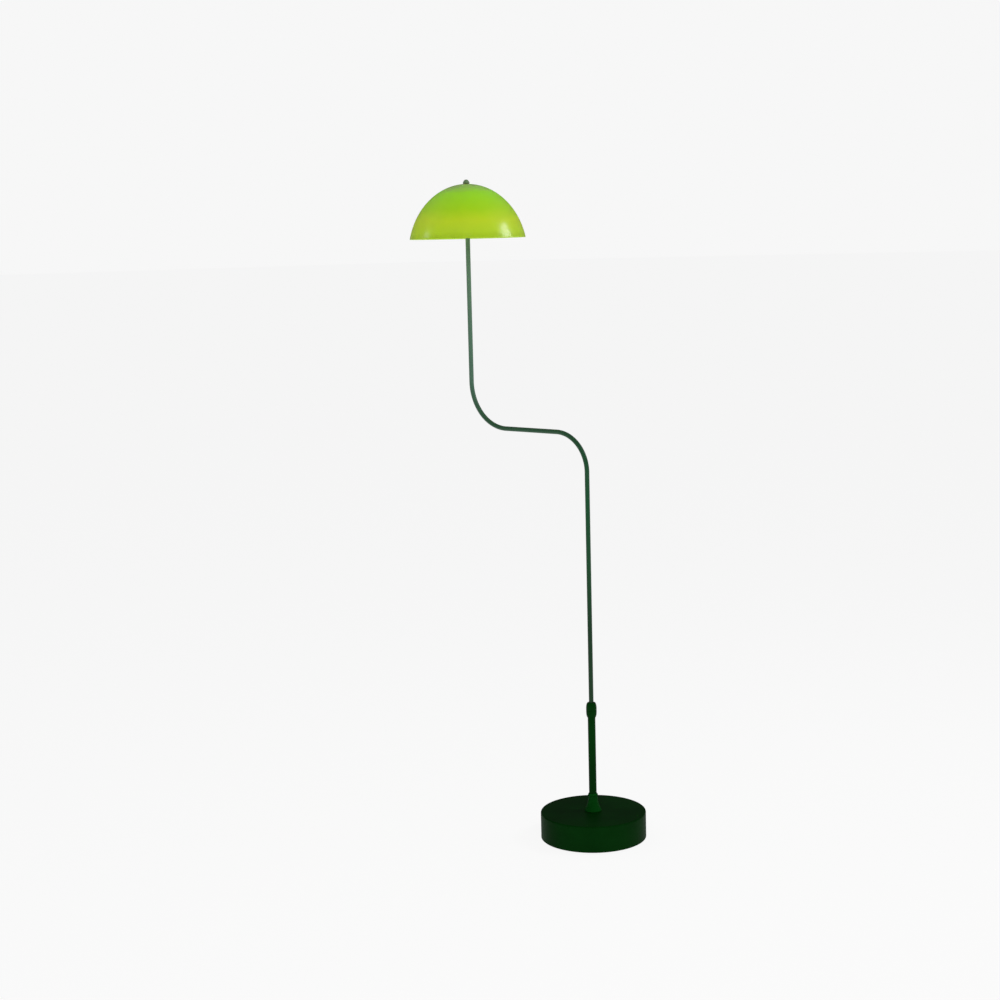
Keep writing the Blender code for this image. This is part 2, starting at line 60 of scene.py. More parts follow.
# ---- Camera ----
# A standing person's view, from the front and to the right of the arm, looking a little down.
# The camera is tipped a degree or so, as a hand-held one is.
camera_distance, camera_height, camera_bearing = 4.110, 1.389, math.radians(39.72)
camera_pan, camera_tilt, camera_roll = math.radians(2.835), math.radians(7.951), math.radians(-1.45)

camera_data = bpy.data.cameras.new("camera")
camera_data.lens, camera_data.sensor_width = 64.23, 36.0
camera_data.clip_start, camera_data.clip_end = 0.05, 400.0
camera = bpy.data.objects.new("camera", camera_data)
bpy.context.scene.collection.objects.link(camera)
camera.location = (
    camera_distance * math.sin(camera_bearing),
    -camera_distance * math.cos(camera_bearing),
    camera_height,
)
looking = Euler((math.pi / 2 - camera_tilt, 0.0, camera_bearing + camera_pan)).to_matrix()
camera.rotation_euler = (looking @ Matrix.Rotation(camera_roll, 3, "Z")).to_euler()
bpy.context.scene.camera = camera
bpy.context.scene.view_settings.view_transform = "Standard"


# ---- Studio ----
# A wide pale floor, and a pale surround that is darker low down and on the camera's side.
# A soft box stands on each side of the lamp, and a wide fill in front gives no highlight.
# Bearings count round the lamp from the camera's side, positive towards the camera's right.
def soft_box(name, bearing, elevation, distance, size, power, target):
    """An area light at a bearing and an elevation from the target, turned to face it."""
    light = bpy.data.lights.new(name, "AREA")
    light.shape, light.size, light.size_y, light.energy = "RECTANGLE", size[0], size[1], power
    holder = bpy.data.objects.new(name, light)
    bpy.context.scene.collection.objects.link(holder)
    turn = camera_bearing + math.radians(bearing)
    rise = math.radians(elevation)
    away = Vector((math.sin(turn) * math.cos(rise), -math.cos(turn) * math.cos(rise), math.sin(rise)))
    holder.location = Vector(target) + distance * away
    holder.rotation_euler = away.to_track_quat("Z", "Y").to_euler()
    holder.visible_camera = False
    return holder


shade_middle = Vector((cad_low.x + 0.14, 0.0, cad_high.z - 0.1))
soft_box("right_box", bearing=88, elevation=20, distance=2.4, size=(0.85, 0.8), power=13, target=shade_middle)
soft_box("left_box", bearing=-87, elevation=17, distance=2.4, size=(0.5, 0.35), power=1.6,
         target=shade_middle)
front_fill = soft_box(
    "front_fill", bearing=4, elevation=22, distance=4.6, size=(2.2, 2.2), power=75, target=shade_middle,
)
front_fill.visible_glossy = False

floor_mesh = bpy.data.meshes.new("studio_floor")
floor_reach = 190.0
floor_corners = [
    (x * floor_reach, y * floor_reach, 0) for x, y in ((-1, -1), (1, -1), (1, 1), (-1, 1))
]
floor_mesh.from_pydata(floor_corners, [], [(0, 1, 2, 3)])
studio_floor = bpy.data.objects.new("studio_floor", floor_mesh)
bpy.context.scene.collection.objects.link(studio_floor)

floor_paper = bpy.data.materials.new("pale_floor_paper")
floor_paper.use_nodes = True
paper_shader = floor_paper.node_tree.nodes["Principled BSDF"]
paper_shader.inputs["Base Color"].default_value = (0.15, 0.15, 0.15, 1)
paper_shader.inputs["Roughness"].default_value = 0.9
paper_shader.inputs["Specular IOR Level"].default_value = 0.0
paper_shader.inputs["Emission Color"].default_value = (1, 1, 1, 1)
paper_shader.inputs["Emission Strength"].default_value = 0.88
floor_mesh.materials.append(floor_paper)

# The surround lights the lamp at far_level, which falls to near_level on the camera's side, and to a share of
# that low down. The camera itself sees an even backdrop.
far_level, near_level, low_share, backdrop_level = 0.30, 0.15, 0.45, 0.93
surround = bpy.data.worlds.new("pale_surround")
surround.use_nodes = True
bpy.context.scene.world = surround
surround_nodes, surround_links = surround.node_tree.nodes, surround.node_tree.links
surround_nodes["Background"].inputs["Color"].default_value = (1, 1, 1, 1)
sky_way = surround_nodes.new("ShaderNodeTexCoord")
towards_camera = surround_nodes.new("ShaderNodeVectorMath")
towards_camera.operation = "DOT_PRODUCT"
towards_camera.inputs[1].default_value = (math.sin(camera_bearing), -math.cos(camera_bearing), 0.0)
dimmed = surround_nodes.new("ShaderNodeMapRange")
dimmed.interpolation_type = "SMOOTHSTEP"
dimmed.inputs["From Min"].default_value, dimmed.inputs["From Max"].default_value = -0.1, 0.6
dimmed.inputs["To Min"].default_value, dimmed.inputs["To Max"].default_value = far_level, near_level
sky_parts = surround_nodes.new("ShaderNodeSeparateXYZ")
low_band = surround_nodes.new("ShaderNodeMapRange")
low_band.interpolation_type = "SMOOTHSTEP"
low_band.inputs["From Min"].default_value, low_band.inputs["From Max"].default_value = 0.25, 0.70
low_band.inputs["To Min"].default_value, low_band.inputs["To Max"].default_value = low_share, 1.0
banded = surround_nodes.new("ShaderNodeMath")
banded.operation = "MULTIPLY"
seen_path = surround_nodes.new("ShaderNodeLightPath")
seen_level = surround_nodes.new("ShaderNodeMix")
seen_level.data_type = "FLOAT"
seen_level.inputs[3].default_value = backdrop_level
surround_links.new(sky_way.outputs["Generated"], towards_camera.inputs[0])
surround_links.new(towards_camera.outputs["Value"], dimmed.inputs["Value"])
surround_links.new(sky_way.outputs["Generated"], sky_parts.inputs["Vector"])
surround_links.new(sky_parts.outputs["Z"], low_band.inputs["Value"])
surround_links.new(dimmed.outputs["Result"], banded.inputs[0])
surround_links.new(low_band.outputs["Result"], banded.inputs[1])
surround_links.new(banded.outputs["Value"], seen_level.inputs[2])
surround_links.new(seen_path.outputs["Is Camera Ray"], seen_level.inputs["Factor"])
surround_links.new(seen_level.outputs[0], surround_nodes["Background"].inputs["Strength"])


# ---- Foot pad ----
# A disc of black felt, glued under the base so that it can't scratch the floor.
# It is die-cut, so its edge is square and a little fibrous.
def soften(corners, fillet, steps=5, closed=True):
    """Rounds each corner C with the parabola (1-t)^2 A + 2t(1-t) C + t^2 B; A and B lie a fillet from C."""
    corners = np.asarray(corners, float)
    before, after = np.roll(corners, 1, 0) - corners, np.roll(corners, -1, 0) - corners
    reach_before, reach_after = np.linalg.norm(before, axis=1), np.linalg.norm(after, axis=1)
    fillet = np.broadcast_to(np.asarray(fillet, float), len(corners))
    trim = np.minimum(fillet, 0.49 * np.minimum(reach_before, reach_after))[:, None]
    start = corners + before / reach_before[:, None] * trim
    end = corners + after / reach_after[:, None] * trim
    t = np.linspace(0, 1, steps)[None, :, None]
    curve = (1 - t) ** 2 * start[:, None] + 2 * t * (1 - t) * corners[:, None] + t ** 2 * end[:, None]
    if closed:
        return curve.reshape(-1, 2)
    return np.vstack([corners[:1], curve[1:-1].reshape(-1, 2), corners[-1:]])


def turned_grid(outline, sides=128, swell=None):
    """Each outline point (r, z) carried round the axis, (r cos a, r sin a, z); swell(a, r, z) adds to r."""
    outline = np.asarray(outline, float)
    angle = (np.arange(sides) * math.tau / sides)[None, :]
    radius = np.repeat(outline[:, :1], sides, 1)
    height = np.repeat(outline[:, 1:], sides, 1)
    if swell is not None:
        radius = radius + np.where(radius > 0, swell(angle, radius, height), 0.0)
    return np.stack([radius * np.cos(angle), radius * np.sin(angle), height], axis=-1)


def lay_mesh(name, grid, closed, material, sharp=42):
    """A grid of points (row, column) as quads, wrapped round its columns, and round its rows too if closed.
    Where an end row has shrunk to one point, a fan of triangles closes the surface on it."""
    rows, sides = grid.shape[:2]
    column = np.arange(sides)
    following = (column + 1) % sides
    low = np.arange(rows if closed else rows - 1)[:, None] * sides
    high = (low + sides) % (rows * sides)
    quads = np.stack([low + column, low + following, high + following, high + column], -1).reshape(-1, 4)
    fans = np.empty((0, 3), int)
    if not closed and np.ptp(grid[0], axis=0).max() < 1e-9:
        fans = np.vstack([fans, np.stack([0 * column, sides + following, sides + column], -1)])
        quads = quads[sides:]
    if not closed and np.ptp(grid[-1], axis=0).max() < 1e-9:
        tip, rim = (rows - 1) * sides, (rows - 2) * sides
        fans = np.vstack([fans, np.stack([tip + 0 * column, rim + column, rim + following], -1)])
        quads = quads[:-sides]
    used, numbered = np.unique(np.concatenate([quads.ravel(), fans.ravel()]), return_inverse=True)
    places = grid.reshape(-1, 3)[used]
    mesh = bpy.data.meshes.new(name)
    faces = numbered[:quads.size].reshape(-1, 4).tolist() + numbered[quads.size:].reshape(-1, 3).tolist()
    mesh.from_pydata(places.tolist(), [], faces)
    mesh.shade_smooth()
    mesh.set_sharp_from_angle(angle=math.radians(sharp))
    mesh.materials.append(material)
    piece = bpy.data.objects.new(name, mesh)
    bpy.context.scene.collection.objects.link(piece)
    return piece


def fit_piece(piece, body, slot, *replaced):
    """The piece moves with a body and stands for the solids it replaces, which are hidden; the slot is not
    used.
    """
    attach(piece, body)
    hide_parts(*replaced)
    return piece


def new_finish(name, colour, roughness, metallic=0.0, specular=0.5):
    """A Principled finish with its plain values set, and its nodes and links to build on."""
    finish = bpy.data.materials.new(name)
    finish.use_nodes = True
    shader = finish.node_tree.nodes["Principled BSDF"]
    shader.inputs["Base Color"].default_value = (*colour, 1)
    shader.inputs["Roughness"].default_value = roughness
    shader.inputs["Metallic"].default_value = metallic
    shader.inputs["Specular IOR Level"].default_value = specular
    return finish, shader, finish.node_tree.nodes, finish.node_tree.links


def grown_noise(nodes, links, scale, detail=3.0, stretch=(1, 1, 1), roughness=0.5):
    """Noise on the piece's own coordinates, stretched along an axis where the material has a grain."""
    place = nodes.new("ShaderNodeTexCoord")
    turn = nodes.new("ShaderNodeMapping")
    turn.inputs["Scale"].default_value = stretch
    noise = nodes.new("ShaderNodeTexNoise")
    noise.inputs["Scale"].default_value = scale
    noise.inputs["Detail"].default_value = detail
    noise.inputs["Roughness"].default_value = roughness
    links.new(place.outputs["Object"], turn.inputs["Vector"])
    links.new(turn.outputs["Vector"], noise.inputs["Vector"])
    return noise.outputs["Fac"]


def tones(nodes, links, value, *stops):
    """A colour ramp over a value; each stop is (position, colour)."""
    ramp = nodes.new("ShaderNodeValToRGB")
    while len(ramp.color_ramp.elements) < len(stops):
        ramp.color_ramp.elements.new(0.5)
    for element, (position, colour) in zip(ramp.color_ramp.elements, stops):
        element.position = position
        element.color = (*colour, 1)
    links.new(value, ramp.inputs["Fac"])
    return ramp.outputs["Color"]


def raised(nodes, links, shader, height, strength, distance):
    """A bump of the surface from a height value."""
    bump = nodes.new("ShaderNodeBump")
    bump.inputs["Strength"].default_value = strength
    bump.inputs["Distance"].default_value = distance
    links.new(height, bump.inputs["Height"])
    links.new(bump.outputs["Normal"], shader.inputs["Normal"])
    return bump


felt, felt_shader, nodes, links = new_finish("black_felt", (0.02, 0.02, 0.02), 0.95, specular=0.1)
fibres = grown_noise(nodes, links, 900, 5, roughness=0.7)
links.new(tones(nodes, links, fibres, (0.3, (0.008, 0.008, 0.009)), (0.7, (0.045, 0.045, 0.048))),
          felt_shader.inputs["Base Color"])
raised(nodes, links, felt_shader, fibres, 0.9, 0.0006)

pad_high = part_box("foot_pad")[1]
pad_radius, pad_top = pad_high.x, pad_high.z
pad_outline = soften([(0, 0), (pad_radius, 0), (pad_radius, pad_top), (0, pad_top)], 0.0006, closed=False)


def pad_fuzz(angle, radius, height):
    """The die-cut edge falls back by 0 to 0.3 mm: -0.00015 (1 + sin(97 a + 900 z))."""
    return -0.00015 * (1 + np.sin(97 * angle + 900 * height)) * (radius > 0.9 * pad_radius)


pad = lay_mesh("felt_pad", turned_grid(pad_outline, 192, pad_fuzz), False, felt)
fit_piece(pad, "base", "felt", "foot_pad")


# ---- Base weight, plate and the fixings inside the base ----
# A cast-iron disc clamped under the post by a nut and washer, closed below by a screwed steel plate.
# A steel sleeve carries the cover's top, and the lead runs in a groove under the weight.
def surface_wear():
    """The node group that every metal and moulded piece shares: noise over the piece, mixed into its
    colour and its roughness, and a fine height."""
    group = bpy.data.node_groups.new("surface_wear", "ShaderNodeTree")
    sockets = group.interface
    sockets.new_socket("Colour", in_out="INPUT", socket_type="NodeSocketColor")
    sockets.new_socket("Worn Colour", in_out="INPUT", socket_type="NodeSocketColor")
    for title in ("Patch Scale", "Grain Scale", "Grain Stretch", "Roughness", "Roughness Spread"):
        sockets.new_socket(title, in_out="INPUT", socket_type="NodeSocketFloat")
    sockets.new_socket("Colour", in_out="OUTPUT", socket_type="NodeSocketColor")
    sockets.new_socket("Roughness", in_out="OUTPUT", socket_type="NodeSocketFloat")
    sockets.new_socket("Height", in_out="OUTPUT", socket_type="NodeSocketFloat")
    nodes, links = group.nodes, group.links
    given, made = nodes.new("NodeGroupInput"), nodes.new("NodeGroupOutput")

    place = nodes.new("ShaderNodeTexCoord")
    patch = nodes.new("ShaderNodeTexNoise")
    patch.inputs["Detail"].default_value = 4
    links.new(place.outputs["Object"], patch.inputs["Vector"])
    links.new(given.outputs["Patch Scale"], patch.inputs["Scale"])
    spread = nodes.new("ShaderNodeMapRange")
    spread.inputs["From Min"].default_value, spread.inputs["From Max"].default_value = 0.35, 0.68
    links.new(patch.outputs["Fac"], spread.inputs["Value"])
    blend = nodes.new("ShaderNodeMix")
    blend.data_type = "RGBA"
    links.new(spread.outputs["Result"], blend.inputs["Factor"])
    links.new(given.outputs["Colour"], blend.inputs[6])
    links.new(given.outputs["Worn Colour"], blend.inputs[7])
    links.new(blend.outputs[2], made.inputs["Colour"])

    stretch = nodes.new("ShaderNodeCombineXYZ")
    stretch.inputs["X"].default_value = stretch.inputs["Y"].default_value = 1
    links.new(given.outputs["Grain Stretch"], stretch.inputs["Z"])
    grain_place = nodes.new("ShaderNodeVectorMath")
    grain_place.operation = "MULTIPLY"
    links.new(place.outputs["Object"], grain_place.inputs[0])
    links.new(stretch.outputs["Vector"], grain_place.inputs[1])
    grain = nodes.new("ShaderNodeTexNoise")
    grain.inputs["Detail"].default_value = 3
    links.new(grain_place.outputs["Vector"], grain.inputs["Vector"])
    links.new(given.outputs["Grain Scale"], grain.inputs["Scale"])
    links.new(grain.outputs["Fac"], made.inputs["Height"])

    centred = nodes.new("ShaderNodeMath")
    centred.operation = "SUBTRACT"
    centred.inputs[1].default_value = 0.5
    links.new(patch.outputs["Fac"], centred.inputs[0])
    rougher = nodes.new("ShaderNodeMath")
    rougher.operation = "MULTIPLY_ADD"
    links.new(centred.outputs["Value"], rougher.inputs[0])
    links.new(given.outputs["Roughness Spread"], rougher.inputs[1])
    links.new(given.outputs["Roughness"], rougher.inputs[2])
    links.new(rougher.outputs["Value"], made.inputs["Roughness"])
    return group


wear = surface_wear()


def worn_finish(name, colour, worn, roughness, spread=0.2, patch=60, grain=800, stretch=1.0, metallic=0.0,
                specular=0.5, bump=0.15, depth=0.0002):
    """A finish whose colour, roughness and fine height come from the shared wear group."""
    finish, shader, nodes, links = new_finish(name, colour, roughness, metallic, specular)
    worn_by = nodes.new("ShaderNodeGroup")
    worn_by.node_tree = wear
    worn_by.inputs["Colour"].default_value = (*colour, 1)
    worn_by.inputs["Worn Colour"].default_value = (*worn, 1)
    worn_by.inputs["Patch Scale"].default_value = patch
    worn_by.inputs["Grain Scale"].default_value = grain
    worn_by.inputs["Grain Stretch"].default_value = stretch
    worn_by.inputs["Roughness"].default_value = roughness
    worn_by.inputs["Roughness Spread"].default_value = spread
    links.new(worn_by.outputs["Colour"], shader.inputs["Base Color"])
    links.new(worn_by.outputs["Roughness"], shader.inputs["Roughness"])
    raised(nodes, links, shader, worn_by.outputs["Height"], bump, depth)
    return finish, shader


def punch(piece, outline, place, sides=64):
    """Cuts a turned shape out of a piece, and keeps the result as the piece's own mesh."""
    tool = lay_mesh("punch_tool", place(turned_grid(outline, sides)), False, piece.data.materials[0])
    step = piece.modifiers.new("punch", "BOOLEAN")
    step.operation, step.solver, step.object = "DIFFERENCE", "EXACT", tool
    found = piece.evaluated_get(bpy.context.evaluated_depsgraph_get())
    punched = bpy.data.meshes.new_from_object(found)
    piece.modifiers.clear()
    piece.data = punched
    bpy.data.objects.remove(tool)


cast_iron, _ = worn_finish("cast_iron", (0.055, 0.055, 0.058), (0.11, 0.09, 0.075), 0.62, 0.3, 40, 500,
                           metallic=0.85, bump=0.6, depth=0.0008)
zinc, _ = worn_finish("zinc_plate", (0.52, 0.53, 0.55), (0.62, 0.62, 0.60), 0.34, 0.3, 120, 1500,
                      metallic=1.0)
nylon, _ = worn_finish("natural_nylon", (0.72, 0.70, 0.64), (0.78, 0.77, 0.73), 0.45, 0.15, 90, 900)
sheath, _ = worn_finish("lead_sheath", (0.70, 0.69, 0.65), (0.76, 0.75, 0.71), 0.5, 0.1, 200, 1200)


def refinish(finish, *node_names):
    """Gives solids of the frame, which keep their shapes, a finish of their own."""
    for node_name in node_names:
        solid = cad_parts[node_name].data
        solid.materials.clear()
        solid.materials.append(finish)


plate_screws = ["plate_screw_1", "plate_screw_2", "plate_screw_3"]
refinish(cast_iron, "base_weight")
refinish(zinc, *plate_screws, "post_nut", "post_washer", "spacer_sleeve", "bush_stop_ring", "bush_clip")
refinish(nylon, "collet", "guide_bush", "light_module")
refinish(sheath, "base_lead", "arm_lead")

plate_low, plate_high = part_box("bottom_plate")
plate_radius = plate_high.x
plate_outline = soften(
    [(0, plate_low.z), (plate_radius, plate_low.z), (plate_radius, plate_high.z), (0, plate_high.z)],
    0.0003, closed=False,
)
plate = lay_mesh("steel_bottom_plate", turned_grid(plate_outline, 192), False, zinc)
screw_hole = [
    (0, plate_low.z - 0.001), (0.0042, plate_low.z - 0.001), (0.0024, plate_low.z + 0.0016),
    (0.0024, plate_high.z + 0.001), (0, plate_high.z + 0.001),
]


def sideways(x, y):
    """The move of a shape by (x, y, 0)."""
    def move(grid):
        return grid + np.array([x, y, 0])
    return move


for screw in plate_screws:
    screw_low, screw_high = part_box(screw)
    screw_middle = (screw_low + screw_high) / 2
    punch(plate, screw_hole, sideways(screw_middle.x, screw_middle.y), 24)
fit_piece(plate, "base", "zinc_steel", "bottom_plate")


# ---- Base cover ----
# A deep-drawn steel drum 1.5 mm thick, enamelled dark green, with a small radius round its top edge.
# The sleeve inside and the hub above clamp it by its centre hole; the cord's hole is punched low at the back.
def enamel(name, colour, worn, roughness, specular, coat, grain=260):
    """A sprayed enamel: slight drift in its tone, orange-peel height, and a thin clear gloss."""
    finish, shader = worn_finish(name, colour, worn, roughness, 0.12, 9, grain, specular=specular,
                                 bump=0.05, depth=0.0004)
    shader.inputs["Coat Weight"].default_value = coat
    shader.inputs["Coat Roughness"].default_value = 0.12
    return finish


base_enamel = enamel("base_enamel", (0.0007, 0.020, 0.0013), (0.0018, 0.032, 0.0030), 0.50, 0.02, 0.0)

shell_low, shell_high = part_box("base_shell")
base_radius, base_foot, base_top = shell_high.x, shell_low.z, shell_high.z
shell_wall, shell_corner, corner_steps = 0.0015, 0.004, 9
post_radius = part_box("post_tube")[1].x
post_hole = post_radius + 0.0004
inner_radius, inner_top = base_radius - shell_wall, base_top - shell_wall
cover_outline = soften(
    [
        (inner_radius, base_foot), (base_radius, base_foot), (base_radius, base_top), (post_hole, base_top),
        (post_hole, inner_top), (inner_radius, inner_top),
    ],
    [0.0004, 0.0004, shell_corner, 0.0003, 0.0003, shell_corner - shell_wall], steps=corner_steps,
)
# Rows of points under and over the cord's hole keep the shading of the wall even round it.
wall_heights = np.array([0.006, 0.019, 0.030])
foot_points = 2 * corner_steps
cover_outline = np.vstack([
    cover_outline[:foot_points], np.stack([0 * wall_heights + base_radius, wall_heights], -1),
    cover_outline[foot_points:], np.stack([0 * wall_heights + inner_radius, wall_heights[::-1]], -1),
])
cover = lay_mesh("base_cover", turned_grid(cover_outline, 256), True, base_enamel)

grommet_low, grommet_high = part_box("cord_grommet")
outlet_height = (grommet_low.z + grommet_high.z) / 2
outlet_radius = 0.005


def laid_back(grid):
    """Lays a shape made about +Z along +Y, at the outlet's height: (x, y, z) goes to (x, z, outlet - y)."""
    return np.stack([grid[..., 0], grid[..., 2], outlet_height - grid[..., 1]], -1)


punch_start, punch_end = base_radius - 0.010, base_radius + 0.010
outlet = [(0, punch_start), (outlet_radius, punch_start), (outlet_radius, punch_end), (0, punch_end)]
punch(cover, outlet, laid_back)
fit_piece(cover, "base", "base_paint", "base_shell")


# ---- Cord grommet ----
# A black rubber bush snapped into the cover's hole, where the mains cord leaves the base.
# Moulded, with a groove for the wall, a rounded outer flange and a flared mouth.
rubber, _ = worn_finish("black_rubber", (0.012, 0.012, 0.013), (0.024, 0.024, 0.025), 0.62, 0.2, 150, 1400,
                        specular=0.3, bump=0.3)
bore, flange, neck = 0.0035, grommet_high.x, outlet_radius - 0.0003
wall_in, wall_out = base_radius - shell_wall - 0.0005, base_radius + 0.0003
grommet_outline = soften(
    [
        (bore, grommet_low.y), (flange, grommet_low.y), (flange, wall_in), (neck, wall_in), (neck, wall_out),
        (flange, wall_out), (flange - 0.0006, grommet_high.y), (bore + 0.0008, grommet_high.y),
        (bore, grommet_high.y - 0.0008),
    ],
    [0.0005, 0.0005, 0.0003, 0.0002, 0.0002, 0.0003, 0.0009, 0.0005, 0.0004],
)
grommet = lay_mesh("rubber_grommet", laid_back(turned_grid(grommet_outline, 96)), True, rubber)
fit_piece(grommet, "base", "black_rubber", "cord_grommet")


# ---- Post hub ----
# A spun steel trumpet brazed to the post, whose foot presses the cover down.
# It flares in one sweep from a rolled lip at its neck, and its enamel is painted a shade lighter than the
# post's as painted light, lifting the shadow on it.
hub_low, hub_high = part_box("post_hub")
hub_foot, hub_neck, hub_top = hub_high.x, 0.011, hub_high.z
climb = np.linspace(0, 1, 40)
flare_low, flare_high = hub_low.z + 0.002, hub_top - 0.0056
# The flare's radius is neck + (foot - neck) (1 - climb)^2.2.
flare_power = 2.2
flare_radius = hub_neck + (hub_foot - hub_neck) * (1 - climb) ** flare_power
flare = np.stack([flare_radius, flare_low + (flare_high - flare_low) * climb], -1)
lip = soften(
    [
        tuple(flare[-1]), (0.0116, hub_top - 0.0050), (0.0120, hub_top - 0.0038), (0.0112, hub_top - 0.0020),
        (0.0100, hub_top), (post_hole, hub_top),
    ],
    [0, 0.0006, 0.0009, 0.0010, 0.0002, 0], steps=7, closed=False,
)
foot = soften(
    [(post_hole, hub_low.z), (hub_foot, hub_low.z), tuple(flare[0]), tuple(flare[1])], 0.0006, closed=False,
)
hub_outline = np.vstack([foot[:-1], flare[1:-1], lip])
# Painted light: the same green enamel as the post, lightened to lift the shadow on the hub.
hub_enamel_painted_light = enamel("hub_enamel_painted_light", (0.0018, 0.060, 0.0046), (0.0034, 0.080, 0.0076), 0.50, 0.02, 0.0)
hub = lay_mesh("post_trumpet", turned_grid(hub_outline, 160), True, hub_enamel_painted_light, sharp=50)
fit_piece(hub, "base", "base_paint", "post_hub")


# ---- Lower post ----
# An 18 mm drawn steel tube, enamelled outside, that stands in the base and guides the arm tube inside it.
# Its ends are faced square, with a fine break on each edge.
post_low, post_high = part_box("post_tube")
post_bore = post_radius - 0.0015
post_foot, post_top = post_low.z, post_high.z
post_outline = soften(
    [(post_bore, post_foot), (post_radius, post_foot), (post_radius, post_top), (post_bore, post_top)],
    0.0003,
)
post_enamel = enamel("post_enamel", (0.0006, 0.030, 0.0018), (0.0016, 0.043, 0.0036), 0.40, 0.03, 0.0)
post = lay_mesh("lower_post", turned_grid(post_outline, 96), True, post_enamel)
fit_piece(post, "base", "base_paint", "post_tube")


# ---- Clamp collar ----
# A steel body fixed on the post's top, and a nut that screws down on it to squeeze a nylon collet.
# Both are turned, and together they make one barrel, round at each end, with a hairline between them.
body_low, body_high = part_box("collar_body")
body_foot = body_low.z
nut_low, nut_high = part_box("collar_nut")
nut_foot, nut_top = nut_low.z, nut_high.z
collar_radius, neck_radius, split = body_high.x, 0.0086, nut_foot - 0.0003
tube_radius = 0.0055
tube_hole, shoulder = tube_radius + 0.0003, body_foot + 0.012
collar_outline = soften(
    [
        (post_hole, body_foot), (0.0099, body_foot), (0.0113, body_foot + 0.003), (0.0121, body_foot + 0.007),
        (collar_radius, body_foot + 0.012), (collar_radius, split), (neck_radius, split),
        (neck_radius, body_high.z), (tube_hole, body_high.z), (tube_hole, shoulder), (post_hole, shoulder),
    ],
    [0.0003, 0.0008, 0.0016, 0.0020, 0.0024, 0.0004, 0.0003, 0.0004, 0.0003, 0.0003, 0.0003],
)
collar = lay_mesh("collar_base", turned_grid(collar_outline, 128), True, post_enamel)
fit_piece(collar, "base", "base_paint", "collar_body")

nut_outline = soften(
    [
        (0.0089, nut_foot), (collar_radius, nut_foot), (collar_radius, nut_top - 0.011),
        (0.0119, nut_top - 0.0065), (0.0108, nut_top - 0.0025), (0.0092, nut_top), (0.0060, nut_top),
        (0.0060, nut_top - 0.0015), (0.0075, nut_top - 0.0015), (0.0089, nut_top - 0.0065),
    ],
    [0.0002, 0.0004, 0.0024, 0.0020, 0.0018, 0.0010, 0.0003, 0.0002, 0.0003, 0.0003],
)
nut = lay_mesh("collar_twist_nut", turned_grid(nut_outline, 128), True, post_enamel)
fit_piece(nut, "collar_nut", "base_paint", "collar_nut")


# ---- Arm tube ----
# One 11 mm steel tube, bent cold twice into an S: up the post's line, over a level run, and up to the shade.
# It is enamelled green, with painted light making it paler and greyer towards the shade, and its ends are
# faced square.
def swept_grid(path, radius, normal, sides):
    """Rings round a path in one plane: p + r (cos a n + sin a (t x n)), where n is the plane's normal."""
    path, normal = np.asarray(path, float), np.asarray(normal, float)
    tangent = np.gradient(path, axis=0)
    tangent /= np.linalg.norm(tangent, axis=1, keepdims=True)
    across = np.cross(tangent, normal)
    angle = (np.arange(sides) * math.tau / sides)[None, :, None]
    ring = np.cos(angle) * normal + np.sin(angle) * across[:, None]
    return path[:, None] + np.asarray(radius, float).reshape(-1, 1, 1) * ring


arm_enamel_painted_light = enamel("arm_enamel_painted_light", (0.006, 0.070, 0.024), (0.012, 0.095, 0.038), 0.30, 0.20, 0.0)
nodes, links = arm_enamel_painted_light.node_tree.nodes, arm_enamel_painted_light.node_tree.links
shader = nodes["Principled BSDF"]
place = nodes.new("ShaderNodeTexCoord")
apart = nodes.new("ShaderNodeSeparateXYZ")
links.new(place.outputs["Object"], apart.inputs["Vector"])
# Painted light: a ramp of tones up the arm's height, darker low down and paler and greyer towards the shade,
# over the enamel.
painted_light_foot, painted_light_top, painted_light_share = 0.30, 1.45, 0.82
painted_light_height = nodes.new("ShaderNodeMapRange")
painted_light_height.inputs["From Min"].default_value = painted_light_foot
painted_light_height.inputs["From Max"].default_value = painted_light_top
links.new(apart.outputs["Z"], painted_light_height.inputs["Value"])
painted_light_tones = tones(
    nodes, links, painted_light_height.outputs["Result"],
    (0.00, (0.010, 0.038, 0.010)), (0.17, (0.004, 0.030, 0.008)), (0.30, (0.006, 0.064, 0.018)),
    (0.44, (0.002, 0.078, 0.022)), (0.57, (0.024, 0.078, 0.036)), (0.68, (0.088, 0.180, 0.122)),
    (1.00, (0.148, 0.240, 0.165)),
)
painted_light_blend = nodes.new("ShaderNodeMix")
painted_light_blend.data_type = "RGBA"
painted_light_blend.inputs["Factor"].default_value = painted_light_share
links.new(shader.inputs["Base Color"].links[0].from_socket, painted_light_blend.inputs[6])
links.new(painted_light_tones, painted_light_blend.inputs[7])
links.new(painted_light_blend.outputs[2], shader.inputs["Base Color"])
tube_low, tube_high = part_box("arm_tube")
reach = -(tube_low.x + tube_radius)
run_height, lower_bend, upper_bend, tube_bore = 0.965, 0.090, 0.110, 0.0040


def bend(centre_x, centre_z, radius, start, stop, steps=40):
    """Points along an arc in the XZ plane, from one angle to another in degrees."""
    turn = np.radians(np.linspace(start, stop, steps))
    return np.stack([centre_x + radius * np.cos(turn), 0 * turn, centre_z + radius * np.sin(turn)], -1)


def straight(start, end, steps=24):
    """Points along a straight run, both ends left out."""
    return np.linspace(start, end, steps + 2)[1:-1]


